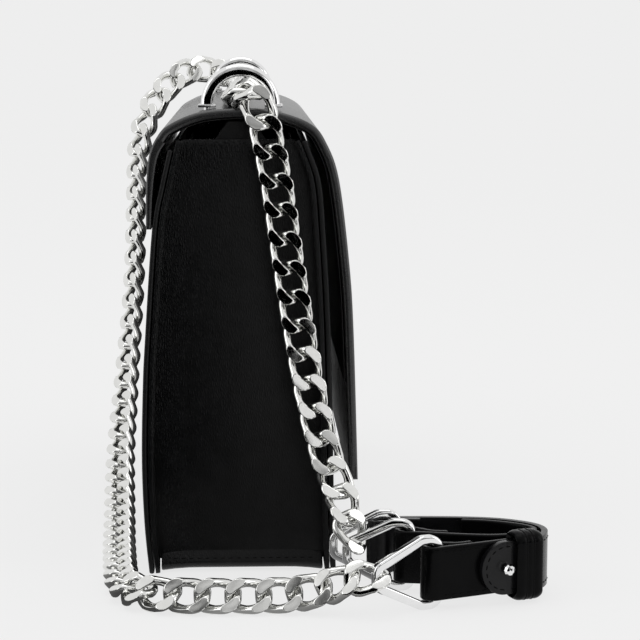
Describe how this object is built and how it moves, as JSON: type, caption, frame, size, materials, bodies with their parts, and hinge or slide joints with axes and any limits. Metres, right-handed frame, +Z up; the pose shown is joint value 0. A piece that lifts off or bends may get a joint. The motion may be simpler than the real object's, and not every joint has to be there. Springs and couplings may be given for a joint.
{
  "type": "flap shoulder bag",
  "caption": "Structured flap bag with a curb chain threaded through two arch hoops on its top and a short leather strap on trapezoid rings.",
  "frame": {"origin": "centre of the bag's base, on the face that it stands on", "axes": "+Y along the bag's length, +X towards the front where the flap closes, +Z up"},
  "size_m": [0.1751, 0.3134, 0.1978],
  "materials": {
    "black_leather": "smooth, semi-gloss, stitched edges",
    "polished_metal": "polished",
    "lining_fabric": "fine weave",
    "fibre_board": "matte fibre board"
  },
  "bodies": {
    "bag": {"back_panel": "black_leather", "front_panel": "black_leather", "gusset_near": "black_leather", "gusset_far": "black_leather", "base_panel": "black_leather", "gusset_tab_near": "black_leather", "gusset_tab_far": "black_leather", "flap_back": "black_leather", "strap_billet": "black_leather", "strap_long": "black_leather", "strap_return": "black_leather", "strap_keeper": "black_leather", "chain_side_run": "polished_metal", "chain_back_run": "polished_metal", "chain_front_run": "polished_metal", "snap_socket": "polished_metal", "strap_stud": "polished_metal", "lining": "lining_fabric", "base_board": "fibre_board"},
    "flap": {"flap": "black_leather", "flap_lining": "black_leather", "snap_stud": "polished_metal", "hoop_near": "polished_metal", "hoop_far": "polished_metal", "hoop_screw_near_back": "polished_metal", "hoop_screw_near_front": "polished_metal", "hoop_screw_far_back": "polished_metal", "hoop_screw_far_front": "polished_metal", "chain_top_run": "polished_metal"},
    "ring_a": {"ring_a": "polished_metal"},
    "ring_b": {"ring_b": "polished_metal"},
    "ring_c": {"ring_c": "polished_metal"}
  },
  "joints": [
    {"name": "flap_hinge", "type": "hinge", "parent": "bag", "child": "flap", "pos_m": [-0.0319, 0, 0.16978], "axis": [0, 1, 0], "range_deg": [-120, 0], "deforming": ["chain_side_run", "chain_back_run"]},
    {"name": "ring_a_swing", "type": "hinge", "parent": "bag", "child": "ring_a", "pos_m": [0.07155, -0.174, 0.0139], "axis": [0, 0, 1], "range_deg": [-8, 8], "deforming": ["chain_front_run"]},
    {"name": "ring_b_swing", "type": "hinge", "parent": "bag", "child": "ring_b", "pos_m": [0.0637, -0.15128, 0.0139], "axis": [0, 0, 1], "range_deg": [-8, 8], "deforming": ["chain_side_run"]},
    {"name": "ring_c_swing", "type": "hinge", "parent": "bag", "child": "ring_c", "pos_m": [0.05945, -0.13519, 0.0139], "axis": [0, 0, 1], "range_deg": [-8, 8]}
  ]
}
